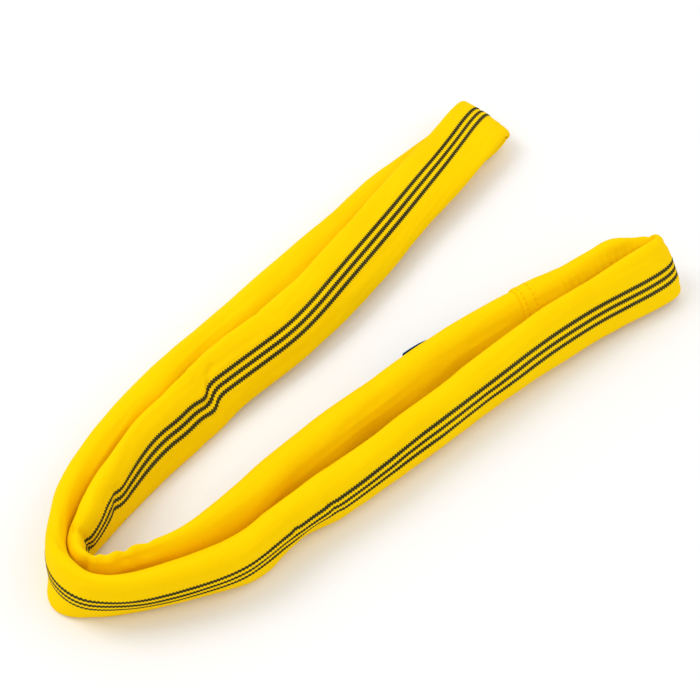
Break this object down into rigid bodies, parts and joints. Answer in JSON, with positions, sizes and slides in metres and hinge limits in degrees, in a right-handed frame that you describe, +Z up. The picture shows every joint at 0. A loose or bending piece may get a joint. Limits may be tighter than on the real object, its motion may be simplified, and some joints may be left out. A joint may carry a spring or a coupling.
{
  "type": "round sling",
  "caption": "Endless soft lifting sling: a woven tube sleeve round a yarn core, with a sewn overlap and an identification label, folded into a V.",
  "frame": {"origin": "centre of the sling's footprint, on the surface it lies on", "axes": "+X along the middle of the V from its bight to the two folded ends, +Y towards the arm away from the label's arm, +Z up"},
  "size_m": [0.5095, 0.2456, 0.0377],
  "materials": {
    "sleeve_fabric": "dense woven polyester, matt with a faint sheen, three dark marker stripes",
    "sewing_thread": "twisted polyester thread",
    "core_yarn": "soft untwisted filament yarn",
    "join_tape": "cloth tape",
    "label_blue": "smooth coated label cloth",
    "clear_film": "clear flexible film"
  },
  "bodies": {
    "sling": {"woven_sleeve": "sleeve_fabric", "sleeve_overlap_end": "sleeve_fabric", "seam_stitch_row_1": "sewing_thread", "seam_stitch_row_2": "sewing_thread", "core_join_tape": "join_tape", "label_sewn_in_tab": "label_blue", "core_yarn_turn_01": "core_yarn", "core_yarn_turn_02": "core_yarn", "core_yarn_turn_03": "core_yarn", "core_yarn_turn_04": "core_yarn", "core_yarn_turn_05": "core_yarn", "core_yarn_turn_06": "core_yarn", "core_yarn_turn_07": "core_yarn", "core_yarn_turn_08": "core_yarn", "core_yarn_turn_09": "core_yarn", "core_yarn_turn_10": "core_yarn", "core_yarn_turn_11": "core_yarn", "core_yarn_turn_12": "core_yarn"},
    "label": {"label_panel": "label_blue", "label_clear_cover": "clear_film", "label_edge_stitching": "sewing_thread"}
  },
  "joints": [
    {"name": "label_flap", "type": "hinge", "parent": "sling", "child": "label", "pos_m": [0.12887, -0.04793, 0], "axis": [0, 0, -1], "range_deg": [0, 40]}
  ]
}
